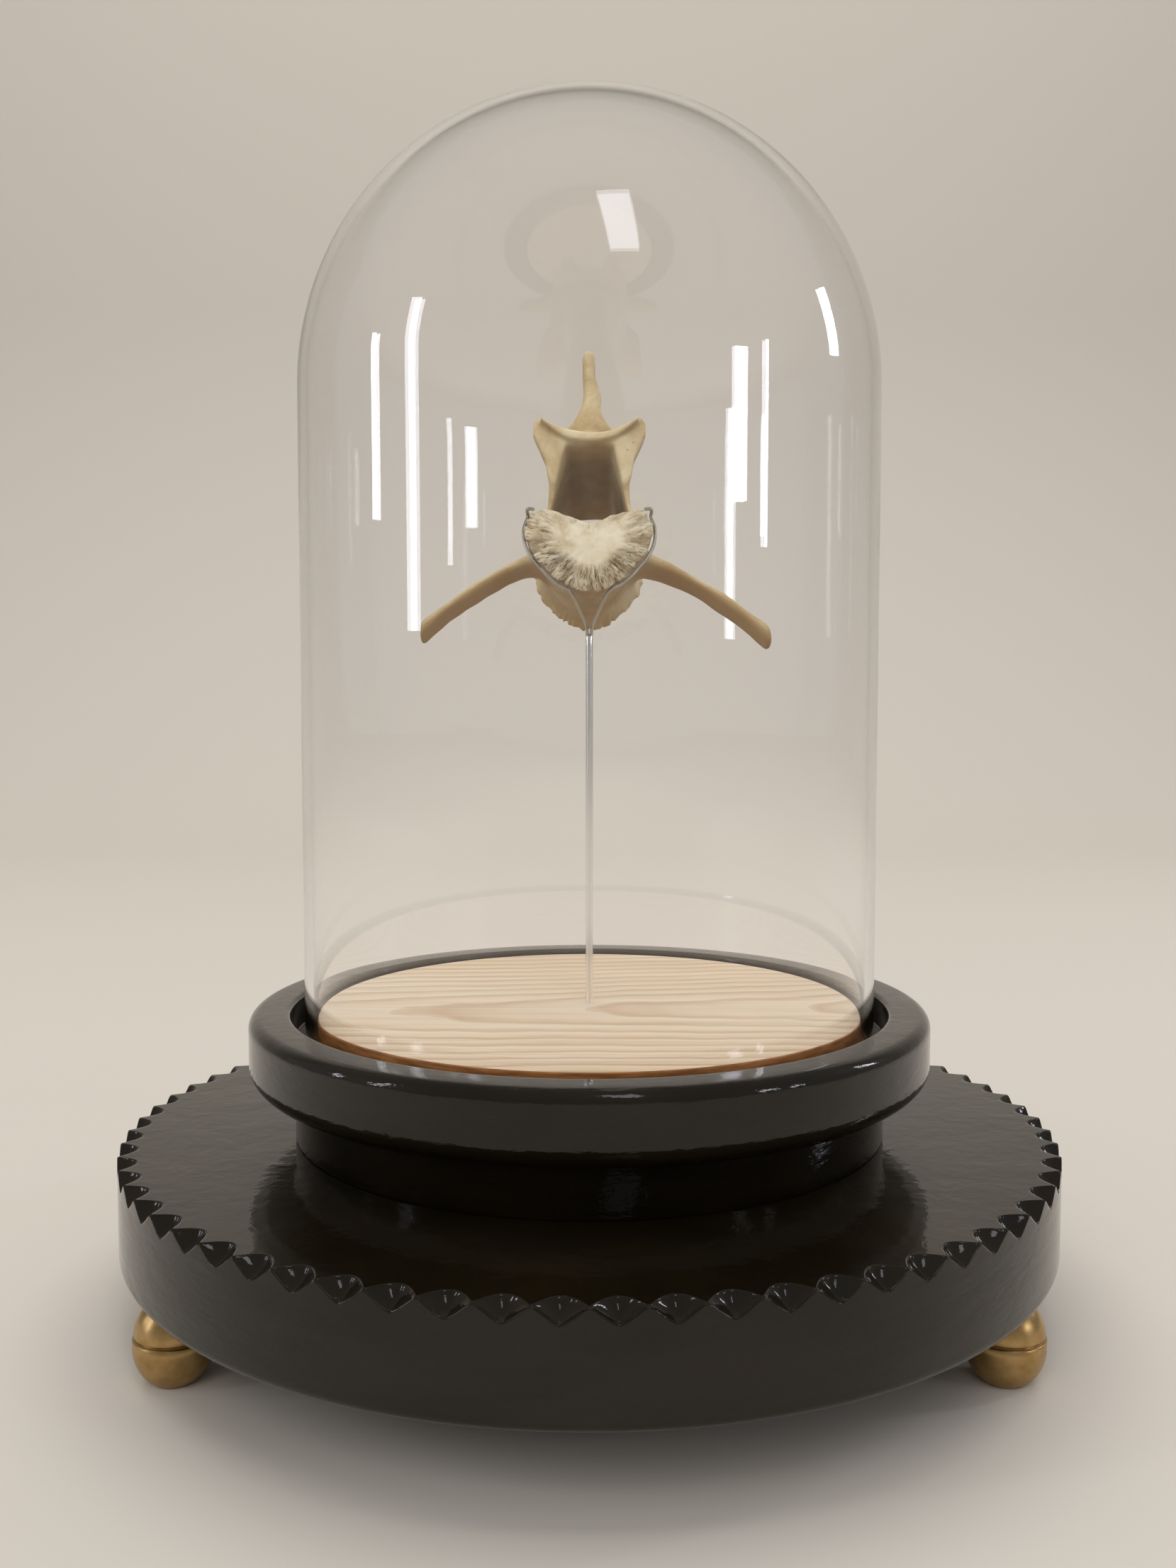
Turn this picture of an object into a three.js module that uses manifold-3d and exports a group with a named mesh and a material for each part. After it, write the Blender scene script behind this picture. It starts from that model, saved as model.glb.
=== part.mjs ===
// A lumbar vertebra of a young pig, held by a steel rod and two wire prongs over a round wooden
// disc, under a glass dome on a turned black base and a scalloped board with three brass ball feet.
// Millimetres, +Z up. The origin is on the floor under the middle, and the viewer stands at -Y.
import * as THREE from "three";
import { mergeVertices } from "three/addons/utils/BufferGeometryUtils.js";
import Module from "manifold-3d";

const wasm = await Module();
wasm.setup();

// Round pieces
const ROUND = 40;
const FOOT = { radius: 10.7, band: 2.55, circle: 127, seat: 4.5, tread: 5.5, groove: 0.35 };
const BOARD = { radius: 137.7, bottom: 22.95, top: 51.7, lowerRound: 3, scallops: 68 };
const SCOOP = { radius: 8.5, reach: 5.5 };
const RING = { outer: 101.2, hole: 88.9, top: 88.1, sideBottom: 74, under: 66, foot: 88, floor: 79 };
const DISC = { radius: 81.3, top: 87.6, chamfer: 0.5 };
const DOME = { radius: 85, glass: 2.6, bottom: 79, top: 353.6 };
const ROD = { radius: 1.1, top: 198.2, clearance: 0.05, sides: 16 };
const WIRE = { radius: 0.5, apart: 0.56, sides: 6, steps: 32 };
const GAP = 0.3;

// The vertebra's own frame: x to the side, y along the body from its front end, z to the back
// (dorsal) side. Its front end is tilted up, towards the viewer.
const TILT = THREE.MathUtils.degToRad(20);
const VERTEBRA_AT = new THREE.Vector3(0, -12, 231.8);
const BODY = { length: 34, centre: -8, waist: 0.2, rear: 0.9, lip: 2.2, around: 36, along: 10 };

// Right half of the heart-shaped front end of the body, seen from the front, bottom to notch
const HEART = [
  [0, -23],
  [4.7, -22.2],
  [10.5, -18.7],
  [15.2, -13.5],
  [18.5, -8.6],
  [19.3, -2.2],
  [16.6, 3.4],
  [8.6, 2.6],
  [0, 0],
];

const CANAL = { base: 11.9, roof: 7.4, floor: 0.6, frontTop: 26.6, rearTop: 15, rearNarrow: 0.86 };
const ARCH = { front: 3, rear: 33, low: -6, lowHalf: 13.8, waistHalf: 11.9, waist: 17, topHalf: 8.6 };
const ROOF = { front: 29.8, rear: 25.5 };
const REAR_NOTCH = { along: 30, up: 4.6, radius: 8.2, stretch: 1.05 };
const FRONT_NOTCH = { along: 0.4, up: 9, radius: 4.6, stretch: 1.7 };
const SPINE = { base: 23, top: 63.4, frontBase: 6.5, rearBase: 31, frontTop: 10.5, rearTop: 27.5 };
// Right front articular process: its outline seen from the front, and how far back it runs
const EAR = { front: 2.4, rear: 15, waist: [8.5, 22], shrink: 0.5, steps: 7 };
const EAR_OUTLINE = [
  [9, 12],
  [12.2, 15.5],
  [13.6, 21],
  [15.6, 26.5],
  [16.2, 31],
  [15.4, 33.4],
  [13.4, 32.6],
  [10.2, 30.8],
  [6.5, 29.2],
  [6.5, 20],
];
const REAR_EAR = { root: [4.5, 25, 20.5], mid: [6, 33, 20.2], tip: [6.4, 39.5, 18.4], thick: 2, wide: 3.6 };
const WING = {
  left: { span: 49.2, drop: -32.6 },
  right: { span: 52.8, drop: -34.6 },
  root: [10, 15, -5.2],
  along: 9,
  wide: 5,
  thick: 1.7,
};

const materials = {
  bone: new THREE.MeshStandardMaterial({ color: 0xd8c39a, roughness: 0.7, metalness: 0 }),
  steel: new THREE.MeshStandardMaterial({ color: 0xb9b7b2, roughness: 0.25, metalness: 1 }),
  brass: new THREE.MeshStandardMaterial({ color: 0xb08a4a, roughness: 0.3, metalness: 1 }),
  lacquer: new THREE.MeshStandardMaterial({ color: 0x17150f, roughness: 0.12, metalness: 0 }),
  wood: new THREE.MeshStandardMaterial({ color: 0xe2c9a0, roughness: 0.55, metalness: 0 }),
  glass: new THREE.MeshStandardMaterial({
    color: 0xf2f6f4,
    roughness: 0.02,
    metalness: 0,
    transparent: true,
    opacity: 0.25,
  }),
};

// A closed geometry as a solid that can be joined and cut
function solidOf(geometry) {
  const bare = geometry.clone();
  bare.deleteAttribute("normal");
  bare.deleteAttribute("uv");
  const merged = mergeVertices(bare, 1e-3);
  return new wasm.Manifold(
    new wasm.Mesh({
      numProp: 3,
      vertProperties: merged.attributes.position.array,
      triVerts: new Uint32Array(merged.index.array),
    }),
  );
}

// The largest body of a solid, as a geometry
function geometryOf(solid) {
  const bodies = solid.decompose();
  const largest = bodies.reduce((a, b) => (b.volume() > a.volume() ? b : a));
  const mesh = largest.getMesh();
  const geometry = new THREE.BufferGeometry();
  geometry.setAttribute("position", new THREE.BufferAttribute(mesh.vertProperties.slice(), 3));
  geometry.setIndex(new THREE.BufferAttribute(mesh.triVerts.slice(), 1));
  geometry.computeVertexNormals();
  return geometry;
}

// A body of revolution about Z from its outline of [radius, height] points
function turned(outline, sides = ROUND) {
  const points = outline.map(([r, z]) => new THREE.Vector2(r, z));
  return new THREE.LatheGeometry(points, sides).rotateX(Math.PI / 2);
}

// Points on an arc, with the angles in degrees, as [radius, height] pairs
function arc(centreR, centreZ, radiusR, radiusZ, from, to, steps) {
  return Array.from({ length: steps + 1 }, (_, i) => {
    const t = THREE.MathUtils.degToRad(from + ((to - from) * i) / steps);
    return [centreR + radiusR * Math.cos(t), centreZ + radiusZ * Math.sin(t)];
  });
}

// A closed skin over rings of equally many points, with a fan at each end
function loft(rings) {
  const n = rings[0].length;
  const points = rings.flat();
  const middle = (ring) =>
    ring.reduce((sum, p) => sum.add(p), new THREE.Vector3()).divideScalar(ring.length);
  points.push(middle(rings[0]), middle(rings.at(-1)));
  const index = [];
  for (let j = 0; j < rings.length - 1; j++) {
    for (let i = 0; i < n; i++) {
      const a = j * n + i;
      const b = j * n + ((i + 1) % n);
      index.push(a, b, b + n, a, b + n, a + n);
    }
  }
  const last = (rings.length - 1) * n;
  for (let i = 0; i < n; i++) {
    const next = (i + 1) % n;
    index.push(points.length - 2, next, i);
    index.push(points.length - 1, last + i, last + next);
  }
  const geometry = new THREE.BufferGeometry().setFromPoints(points);
  geometry.setIndex(index);
  const solid = solidOf(geometry);
  if (solid.volume() > 0) return solid;
  index.reverse();
  return solidOf(geometry.setIndex(index));
}

// The heart outline as a closed curve in x and z
const heartCurve = new THREE.CatmullRomCurve3(
  [
    ...HEART.map(([x, z]) => new THREE.Vector3(x, 0, z)),
    ...HEART.slice(1, -1)
      .reverse()
      .map(([x, z]) => new THREE.Vector3(-x, 0, z)),
  ],
  true,
);

// How wide the vertebral body is at a place along it, as a share of its front end
function bodyShare(y) {
  const t = y / BODY.length;
  const end = 1 + (BODY.rear - 1) * t;
  const fromEnd = Math.min(y, BODY.length - y);
  const lip = 1 - Math.exp(-Math.max(fromEnd, 0) / BODY.lip);
  const hollow = BODY.waist * (0.35 * lip + 0.65 * Math.sin(Math.PI * Math.min(Math.max(t, 0), 1)));
  return end - hollow;
}

// One section of the body, grown outwards by a margin
function bodySection(y, grow = 0) {
  const centre = new THREE.Vector3(0, 0, BODY.centre);
  return heartCurve
    .getSpacedPoints(BODY.around)
    .slice(0, BODY.around)
    .map((p) => {
      const out = p.clone().sub(centre);
      const size = out.length() * bodyShare(y) + grow;
      return out.setLength(size).add(centre).setY(y);
    });
}

function vertebralBody(grow = 0) {
  const rings = [];
  for (let i = 0; i <= BODY.along; i++) {
    const t = i / BODY.along;
    const eased = 0.5 - 0.5 * Math.cos(Math.PI * t);
    rings.push(bodySection(eased * BODY.length, grow));
  }
  if (grow > 0) {
    rings[0].forEach((p) => p.setY(-grow));
    rings.at(-1).forEach((p) => p.setY(BODY.length + grow));
  }
  return loft(rings);
}

// A rounded section from half-width and height pairs, bottom to top on the right side
function mirroredSection(half, y, around) {
  const right = half.map(([x, z]) => new THREE.Vector3(x, y, z));
  const left = half
    .filter(([x]) => x > 0)
    .reverse()
    .map(([x, z]) => new THREE.Vector3(-x, y, z));
  return new THREE.CatmullRomCurve3([...right, ...left], true, "centripetal")
    .getSpacedPoints(around)
    .slice(0, around);
}

// The arch without its canal: pedicles, waist and roof
function archOuter(grow = 0) {
  const steps = 6;
  const rings = [];
  for (let i = 0; i <= steps; i++) {
    const t = i / steps;
    const y = ARCH.front - grow + t * (ARCH.rear - ARCH.front + 2 * grow);
    const roof = THREE.MathUtils.lerp(ROOF.front, ROOF.rear, t) + grow;
    const pinch = 1 - 0.1 * Math.sin(Math.PI * t) - 0.12 * t;
    rings.push(
      mirroredSection(
        [
          [0, ARCH.low - grow],
          [ARCH.lowHalf * pinch + grow, ARCH.low - grow],
          [(ARCH.lowHalf - 0.6) * pinch + grow, 4],
          [ARCH.waistHalf * pinch + grow, ARCH.waist],
          [ARCH.topHalf * pinch + grow, roof - 1.6],
          [0, roof],
        ],
        y,
        28,
      ),
    );
  }
  return loft(rings);
}

// The canal, wide below and narrow above, lower at its rear end
function canal() {
  const [front, rear] = [-6, 42];
  const steps = 6;
  const rings = [];
  for (let i = 0; i <= steps; i++) {
    const y = THREE.MathUtils.lerp(front, rear, i / steps);
    const t = THREE.MathUtils.clamp(y / BODY.length, 0, 1);
    const top = THREE.MathUtils.lerp(CANAL.frontTop, CANAL.rearTop, t);
    const narrow = THREE.MathUtils.lerp(1, CANAL.rearNarrow, t);
    rings.push(
      mirroredSection(
        [
          [0, CANAL.floor],
          [CANAL.base * narrow, CANAL.floor + 1.6],
          [CANAL.base * 0.93 * narrow, top * 0.4],
          [CANAL.roof * 1.1 * narrow, top * 0.8],
          [CANAL.roof * 0.7 * narrow, top - 0.4],
          [0, top],
        ],
        y,
        28,
      ),
    );
  }
  return loft(rings);
}

// A notch through both side walls, where a nerve leaves
function sideNotch({ along, up, radius, stretch }) {
  const bar = new THREE.CylinderGeometry(radius, radius, 60, 20);
  bar.rotateZ(Math.PI / 2).scale(1, 1, stretch).translate(0, along, up);
  return solidOf(bar);
}

function neuralArch() {
  return archOuter()
    .subtract(canal())
    .subtract(sideNotch(REAR_NOTCH))
    .subtract(sideNotch(FRONT_NOTCH))
    .subtract(vertebralBody(GAP));
}

// A flattened arm along a curve. Its section is an ellipse: wide along y, thick across the curve.
// share(t) gives its width and thickness at t as parts of the full ones.
function arm(points, wide, thick, share, sections = 12, around = 14) {
  const curve = new THREE.CatmullRomCurve3(points.map((p) => new THREE.Vector3(...p)));
  const along = new THREE.Vector3(0, 1, 0);
  const rings = [];
  for (let j = 0; j <= sections; j++) {
    const t = j / sections;
    const at = curve.getPoint(t);
    const across = curve.getTangent(t).cross(along).normalize();
    const [w, h] = share(t);
    rings.push(
      Array.from({ length: around }, (_, i) => {
        const angle = (2 * Math.PI * i) / around;
        return at
          .clone()
          .addScaledVector(along, wide * w * Math.cos(angle))
          .addScaledVector(across, thick * h * Math.sin(angle));
      }),
    );
  }
  return loft(rings);
}

// A share that ends in a round tip over the last stretch
const roundTip = (t, stretch) => Math.sqrt(Math.max(0.02, 1 - Math.max(0, (t - 1 + stretch) / stretch) ** 2));

function transverseProcess(side, { span, drop }) {
  const [rootX, rootY, rootZ] = WING.root;
  const points = [0, 0.33, 0.66, 1].map((t) => [
    side * THREE.MathUtils.lerp(rootX, span, t),
    THREE.MathUtils.lerp(rootY, WING.along, t),
    THREE.MathUtils.lerp(rootZ, drop, 0.45 * t + 0.55 * t ** 1.9),
  ]);
  const share = (t) => {
    const root = Math.exp(-((t / 0.22) ** 2));
    return [(1 - 0.08 * t + 0.5 * root) * roundTip(t, 0.08), (1 + 1.2 * root) * roundTip(t, 0.05)];
  };
  return arm(points, WING.wide, WING.thick, share, 16)
    .subtract(vertebralBody(GAP))
    .subtract(archOuter(GAP));
}

// One upturned corner of the arch, drawn together towards its waist at both ends
function articularProcess(side) {
  const waist = new THREE.Vector3(EAR.waist[0], 0, EAR.waist[1]);
  const rings = [];
  for (let j = 0; j <= EAR.steps; j++) {
    const t = j / EAR.steps;
    const round = Math.sqrt(Math.max(0.25, 1 - Math.max(0, 1 - t / 0.25, (t - 0.7) / 0.3) ** 2));
    const size = (1 - EAR.shrink * t ** 1.3) * (0.8 + 0.2 * round);
    const y = THREE.MathUtils.lerp(EAR.front, EAR.rear, t);
    rings.push(
      EAR_OUTLINE.map(([x, z]) => {
        const p = new THREE.Vector3(x, 0, z).sub(waist).multiplyScalar(size).add(waist);
        return new THREE.Vector3(side * p.x, y, p.z);
      }),
    );
  }
  return loft(rings);
}

// The rear pair lies along y, so its arms are built upright and turned into place
function rearArticularProcess(side) {
  const { root, mid, tip, thick, wide } = REAR_EAR;
  const points = [root, mid, tip].map(([x, y, z]) => new THREE.Vector3(side * x, y, z));
  const curve = new THREE.CatmullRomCurve3(points);
  const rings = [];
  for (let j = 0; j <= 8; j++) {
    const t = j / 8;
    const at = curve.getPoint(t);
    const size = roundTip(t, 0.35);
    rings.push(
      Array.from({ length: 12 }, (_, i) => {
        const angle = (2 * Math.PI * i) / 12;
        return at
          .clone()
          .add(
            new THREE.Vector3(thick * size * Math.cos(angle), 0, wide * size * Math.sin(angle)),
          );
      }),
    );
  }
  return loft(rings);
}

// The blade on top, thin from the front and broad from the side
function spinousProcess() {
  const steps = 10;
  const rings = [];
  for (let j = 0; j <= steps; j++) {
    const t = j / steps;
    const front = THREE.MathUtils.lerp(SPINE.frontBase, SPINE.frontTop, t ** 0.6);
    const rear = THREE.MathUtils.lerp(SPINE.rearBase, SPINE.rearTop, t);
    const half = ((rear - front) / 2) * (j === steps ? 0.9 : 1);
    const thick = 1.55 + 2.6 * Math.exp(-((t / 0.2) ** 2)) + 0.45 * Math.exp(-(((t - 0.6) / 0.2) ** 2));
    const lean = 0.5 * Math.exp(-(((t - 0.6) / 0.25) ** 2));
    const z = THREE.MathUtils.lerp(SPINE.base, SPINE.top, t);
    rings.push(
      Array.from({ length: 20 }, (_, i) => {
        const angle = (2 * Math.PI * i) / 20;
        const blunt = Math.sign(Math.cos(angle)) * Math.abs(Math.cos(angle)) ** 0.7;
        return new THREE.Vector3(
          lean + thick * (j === steps ? 0.7 : 1) * Math.sin(angle),
          (front + rear) / 2 + half * blunt,
          z,
        );
      }),
    );
  }
  return loft(rings).subtract(archOuter(GAP));
}

// One prong: from the rod's top up to the front end's rim, round its edge and over its lip
function wirePath(side) {
  const local = new THREE.Vector3(side * WIRE.apart, 0, ROD.top + GAP).sub(VERTEBRA_AT);
  local.applyAxisAngle(new THREE.Vector3(1, 0, 0), TILT);
  const start = local.clone();
  const rise = local.clone().add(new THREE.Vector3(side * 0.25, -1.6, 2.2));
  const stand = WIRE.radius + 2 * GAP;
  const behind = 1.9;
  const centre = new THREE.Vector3(0, 0, BODY.centre);
  const rim = [0.1, 0.14, 0.18, 0.22, 0.26, 0.3, 0.34, 0.375].map((share) => {
    const p = heartCurve.getPoint(share);
    const out = p.clone().sub(centre);
    const q = out.setLength(out.length() * bodyShare(behind) + stand).add(centre);
    return new THREE.Vector3(side * q.x, behind, q.z);
  });
  const last = rim.at(-1);
  const hook = [
    new THREE.Vector3(last.x + side * 0.25, 0.2, last.z + 1),
    new THREE.Vector3(last.x - side * 0.1, -1, last.z + 1.4),
    new THREE.Vector3(last.x - side * 1.4, -1.1, last.z + 1.5),
  ];
  const middle = new THREE.Vector3(side * 2.3, 10, -25.6);
  return new THREE.CatmullRomCurve3([start, rise, middle, ...rim, ...hook], false, "centripetal");
}

function wire(side) {
  const section = new THREE.Shape().absarc(0, 0, WIRE.radius, 0, 2 * Math.PI, false);
  const corners = section.getSpacedPoints(WIRE.sides).slice(0, WIRE.sides);
  return new THREE.ExtrudeGeometry(new THREE.Shape(corners), {
    steps: WIRE.steps,
    bevelEnabled: false,
    extrudePath: wirePath(side),
  });
}

// Two half balls with a band between them, blunt where the foot meets the board and the floor
function foot() {
  const { radius, band, seat, tread, groove } = FOOT;
  const low = Math.sqrt(radius ** 2 - tread ** 2);
  const high = Math.sqrt(radius ** 2 - seat ** 2);
  const scale = (BOARD.bottom - band) / (low + high);
  const middle = low * scale;
  const lowStart = -THREE.MathUtils.radToDeg(Math.acos(tread / radius));
  const highEnd = THREE.MathUtils.radToDeg(Math.acos(seat / radius));
  return turned(
    [
      [0, 0],
      ...arc(0, middle, radius, radius * scale, lowStart, 0, 4),
      [radius, middle + band],
      [radius - groove, middle + band],
      ...arc(0, middle + band, radius - groove, radius * scale, 6, highEnd, 4),
      [0, BOARD.bottom],
    ],
    16,
  );
}

// The board, with a row of gouge cuts round its upper edge
function board() {
  const { radius, bottom, top, lowerRound, scallops } = BOARD;
  const plain = turned(
    [
      [0, bottom],
      [radius - lowerRound, bottom],
      ...arc(radius - lowerRound, bottom + lowerRound, lowerRound, lowerRound, -60, 0, 2),
      [radius, top],
      [0, top],
    ],
    scallops,
  );
  const off = SCOOP.reach / Math.SQRT2;
  const scoops = Array.from({ length: scallops }, (_, i) => {
    const ball = new THREE.SphereGeometry(SCOOP.radius, 6, 4);
    ball.rotateY(-Math.PI / 4).translate(radius + off, 0, top + off);
    return solidOf(ball.rotateZ((2 * Math.PI * (i + 0.5)) / scallops));
  });
  return geometryOf(wasm.Manifold.difference([solidOf(plain), ...scoops]));
}

// The turned base: a round-edged rim over a straight foot, and a well for the dome and the disc
function ringBase() {
  const { outer, hole, top, sideBottom, under, foot: footRadius, floor } = RING;
  const edge = 2.6;
  return turned([
    [0, BOARD.top],
    [footRadius, BOARD.top],
    ...arc(footRadius, sideBottom, outer - footRadius, sideBottom - under, -90, 0, 8),
    ...arc(outer - edge, top - edge, edge, edge, 0, 90, 3),
    [hole + 0.6, top],
    [hole, top - 0.6],
    [hole, floor],
    [0, floor],
  ]);
}

function woodenDisc() {
  const { radius, top, chamfer } = DISC;
  const bore = ROD.radius + ROD.clearance;
  return turned([
    [bore, RING.floor],
    [radius, RING.floor],
    [radius, top - chamfer],
    [radius - chamfer, top],
    [bore, top],
    [bore, RING.floor],
  ]);
}

function glassDome() {
  const { radius, glass, bottom, top } = DOME;
  const springing = top - radius;
  return turned([
    [radius - glass, bottom + glass / 2],
    [radius - glass / 2, bottom],
    [radius, bottom + glass / 2],
    ...arc(0, springing, radius, radius, 0, 90, 10).slice(0, -1),
    [0, top],
    [0, top - glass],
    ...arc(0, springing, radius - glass, radius - glass, 90, 0, 10).slice(1),
    [radius - glass, bottom + glass / 2],
  ]);
}

const group = new THREE.Group();

function add(name, geometry, material, parent = group) {
  const mesh = new THREE.Mesh(geometry, material);
  mesh.name = name;
  parent.add(mesh);
  return mesh;
}

["left", "right", "rear"].forEach((place, i) => {
  const angle = THREE.MathUtils.degToRad([210, 330, 90][i]);
  const mesh = add(`foot_${place}`, foot(), materials.brass);
  mesh.position.set(FOOT.circle * Math.cos(angle), FOOT.circle * Math.sin(angle), 0);
});

add("board", board(), materials.lacquer);
add("ring_base", ringBase(), materials.lacquer);
add("wooden_disc", woodenDisc(), materials.wood);
add("glass_dome", glassDome(), materials.glass);

const rodLength = ROD.top - RING.floor;
const rod = new THREE.CylinderGeometry(ROD.radius, ROD.radius, rodLength, ROD.sides);
add("rod", rod.rotateX(Math.PI / 2).translate(0, 0, RING.floor + rodLength / 2), materials.steel);

const vertebra = new THREE.Group();
vertebra.position.copy(VERTEBRA_AT);
vertebra.rotation.x = -TILT;
group.add(vertebra);

const arch = neuralArch()
  .add(rearArticularProcess(-1).subtract(canal()))
  .add(rearArticularProcess(1).subtract(canal()));
add("vertebral_body", geometryOf(vertebralBody()), materials.bone, vertebra);
add("neural_arch", geometryOf(arch), materials.bone, vertebra);
add(
  "spinous_process",
  geometryOf(
    spinousProcess()
      .subtract(rearArticularProcess(-1))
      .subtract(rearArticularProcess(1)),
  ),
  materials.bone,
  vertebra,
);

for (const [name, side] of [
  ["left", -1],
  ["right", 1],
]) {
  add(`wire_${name}`, wire(side), materials.steel, vertebra);
  add(
    `transverse_process_${name}`,
    geometryOf(transverseProcess(side, WING[name])),
    materials.bone,
    vertebra,
  );
  add(
    `articular_process_${name}`,
    geometryOf(articularProcess(side).subtract(archOuter(GAP)).subtract(canal())),
    materials.bone,
    vertebra,
  );
}

export default group;
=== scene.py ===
"""The mounted vertebra: one bone skin on a steel rod, under glass, on a lacquered base with brass feet.

Metres in the CAD frame. The bone is shaped in its own frame in millimetres, then tilted into place.
"""

import math

import bpy
import numpy as np
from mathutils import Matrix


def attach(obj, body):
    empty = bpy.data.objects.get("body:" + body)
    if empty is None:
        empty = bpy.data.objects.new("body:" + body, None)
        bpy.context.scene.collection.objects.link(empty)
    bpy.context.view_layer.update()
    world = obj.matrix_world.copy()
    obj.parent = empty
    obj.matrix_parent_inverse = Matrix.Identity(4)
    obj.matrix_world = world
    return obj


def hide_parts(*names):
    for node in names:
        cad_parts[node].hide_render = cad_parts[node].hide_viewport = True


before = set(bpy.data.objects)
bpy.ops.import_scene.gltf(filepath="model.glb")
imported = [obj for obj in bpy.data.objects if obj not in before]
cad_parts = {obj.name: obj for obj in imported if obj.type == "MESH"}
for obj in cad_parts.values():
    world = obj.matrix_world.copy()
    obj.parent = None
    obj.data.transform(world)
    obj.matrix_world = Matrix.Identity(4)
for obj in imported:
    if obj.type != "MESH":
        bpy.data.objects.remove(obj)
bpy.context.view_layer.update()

MM = 0.001
SEED = 7

# Camera, from the ellipses of the base and dome in the photo
CAMERA_AT = (-0.0004, -0.4426, 0.1834)
CAMERA_DOWN = math.radians(3.8)
LENS = 33.79

# Mount, in millimetres, as in the CAD
BOARD = {"radius": 137.7, "bottom": 22.95, "top": 51.7, "lower_round": 3.0}
SCALLOPS = 68
SCOOP = {"in": 5.4, "down": 4.2, "least": 0.22}
RING = {
    "outer": 101.2,
    "hole": 88.9,
    "top": 88.1,
    "floor": 79.0,
    "foot": 88.0,
    "side_bottom": 74.0,
    "under": 66.0,
}
DISC = {"radius": 81.3, "top": 87.6}
DOME = {"radius": 85.0, "glass": 2.6, "bottom": 79.0, "top": 353.6}
ROD = {"radius": 1.1, "top": 198.2}
FOOT = {"radius": 10.7, "band": 2.55, "circle": 127.0, "seat": 4.5, "tread": 5.5}
FEET = {"foot_left": 210.0, "foot_right": 330.0, "foot_rear": 90.0}

# Vertebra, in its own frame: x to the side, y from its front end to its rear end, z to its back
TILT = math.radians(20.0)
VERTEBRA_AT = np.array([0.0, -12.0, 231.8])
BODY_LENGTH = 34.0
BODY_CENTRE = -8.0
BODY_WAIST = 0.2
BODY_REAR = 0.9
BODY_LIP = 2.2
# Right half of the front end's outline, (side, up) from its lowest point to the notch
HEART = [(0, -23), (4.7, -22.2), (10.5, -18.7), (15.2, -13.5), (18.5, -8.6)]
HEART += [(19.3, -1.6), (16.8, 3.6), (12.6, 4.0), (6.2, 2.1), (0, -0.4)]
# Right front articular process seen from the front, (side, up) from its root, round the tip and back
EAR_OUTLINE = [(9, 12), (11.4, 15.5), (12.6, 21), (14.8, 26), (16.4, 29.6), (16.3, 33.0)]
EAR_OUTLINE += [(15.0, 34.0), (12.8, 32.2), (9.5, 29.6), (6.5, 28), (6.5, 20)]
# Where the transverse processes leave the arch, (side, up)
WING_ROOT = (10.0, -5.2)
# Span from the middle to the tip of each transverse process, and the height of the tip
WINGS = {-1: (49.2, -32.6), 1: (52.8, -34.6)}
SPINE_BASE = 23.0
SPINE_TOP = 63.4
# Mean radius of the end faces, which turns angles into millimetres for the drawn rays
FACE_RADIUS = 19.0
# Grid step of the bone's skin
VOXEL = 0.46


# Shape helpers
def make(name, points, faces):
    """A smooth-shaded mesh object from metre points and a list or array of faces."""
    mesh = bpy.data.meshes.new(name)
    mesh.from_pydata(points.tolist(), [], faces if isinstance(faces, list) else faces.tolist())
    mesh.update()
    mesh.polygons.foreach_set("use_smooth", [True] * len(mesh.polygons))
    obj = bpy.data.objects.new(name, mesh)
    bpy.context.scene.collection.objects.link(obj)
    return obj


def grid_faces(rows, columns, wrap_rows=False):
    """Quads over a grid of rows by columns, with the columns closed on themselves."""
    r = np.arange(rows if wrap_rows else rows - 1)[:, None]
    c = np.arange(columns)[None, :]
    below, right = (r + 1) % rows, (c + 1) % columns
    quads = np.stack([r * columns + c, r * columns + right, below * columns + right, below * columns + c], -1)
    return quads.reshape(-1, 4)


def fan(pole, ring):
    """Triangles from a pole to each pair of neighbours on a closed ring of point numbers."""
    return np.stack([np.full(len(ring), pole), np.roll(ring, -1), ring], -1).tolist()


def capped(points, rows, columns, name):
    """A closed tube of rings (rows) of points (columns), with a pole added at the middle of each end ring."""
    ends = np.array([points[:columns].mean(0), points[-columns:].mean(0)])
    ring = np.arange(columns)
    faces = grid_faces(rows, columns).tolist() + fan(len(points), ring)
    faces += fan(len(points) + 1, (ring + (rows - 1) * columns)[::-1])
    return make(name, np.vstack([points, ends]), faces)


def revolve(name, profile, segments, centre=(0.0, 0.0)):
    """Surface of revolution: (radius, height) in mm at every angle round a vertical line through centre."""
    profile = np.asarray(profile, float)
    angle = np.arange(segments) * 2 * np.pi / segments
    r, z = profile[:, 0][:, None], profile[:, 1][:, None]
    x = centre[0] + r * np.cos(angle)
    y = centre[1] + r * np.sin(angle)
    points = np.stack([x, y, z + 0 * x], -1).reshape(-1, 3) * MM
    return capped(points, len(profile), segments, name)


def arc(centre_r, centre_z, radius_r, radius_z, start, end, steps):
    """Points on an ellipse's arc, angles in degrees."""
    t = np.radians(np.linspace(start, end, steps))
    return np.stack([centre_r + radius_r * np.cos(t), centre_z + radius_z * np.sin(t)], -1)


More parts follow.
